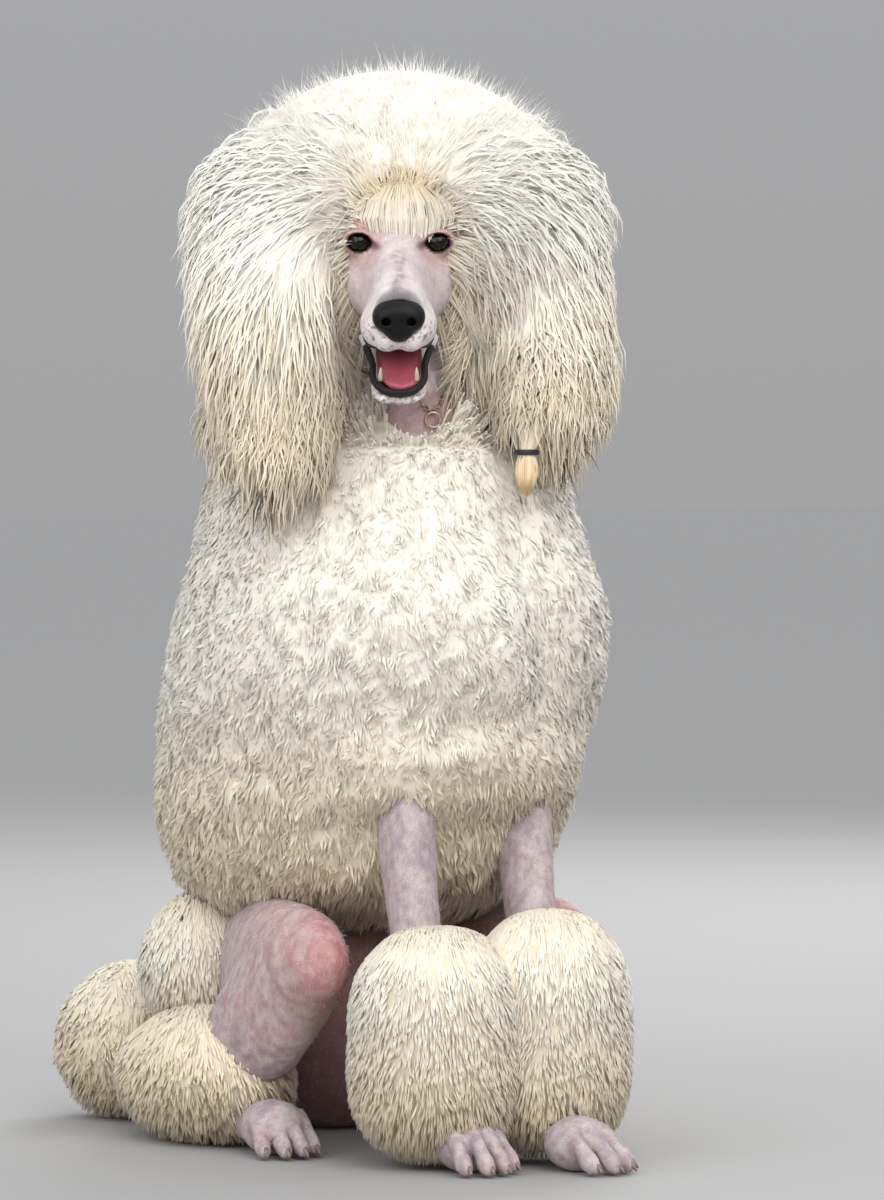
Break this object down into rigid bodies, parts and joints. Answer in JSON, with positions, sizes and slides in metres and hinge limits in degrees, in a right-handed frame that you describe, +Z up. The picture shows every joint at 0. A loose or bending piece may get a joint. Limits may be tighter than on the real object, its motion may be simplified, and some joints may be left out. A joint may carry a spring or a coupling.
{
  "type": "standard poodle, life-size sitting model",
  "caption": "Life-size still model of a sitting standard poodle in a show clip, with a coat of clumps and locks, shaved face and legs, and a chain collar.",
  "frame": {"origin": "on the floor, at the centre of the model's footprint", "axes": "+Z up, -Y the way the body faces, +X the dog's left"},
  "size_m": [0.4157, 0.6177, 0.8878],
  "materials": {
    "skin": "shaved skin under very short white hair",
    "coat": "dense, soft, creamy white hair",
    "nose": "black, moist, finely pebbled",
    "eye": "near-black, glossy",
    "tongue": "moist rose flesh",
    "tooth": "ivory, smooth",
    "claw": "horn, greyish brown",
    "collar": "fine metal chain, slightly warm",
    "band": "small elastic hair bands"
  },
  "bodies": {
    "root": {"head": "skin", "jaw": "skin", "nose": "nose", "eye_right": "eye", "eye_left": "eye", "tongue": "tongue", "brow": "coat", "brow_band": "band", "topknot": "coat", "ear_right": "coat", "ear_left": "coat", "ear_band": "band", "neck": "coat", "torso": "coat", "foreleg_right": "skin", "foreleg_left": "skin", "bracelet_right": "coat", "bracelet_left": "coat", "forepaw_right": "skin", "forepaw_left": "skin", "rump": "skin", "thigh_right": "skin", "thigh_left": "skin", "rosette_right": "coat", "rosette_left": "coat", "hock_right": "coat", "hock_left": "coat", "hindpaw_right": "skin", "hindpaw_left": "skin", "tail": "skin", "tail_pompon": "coat", "collar": "collar", "collar_ring": "collar"}
  },
  "joints": []
}
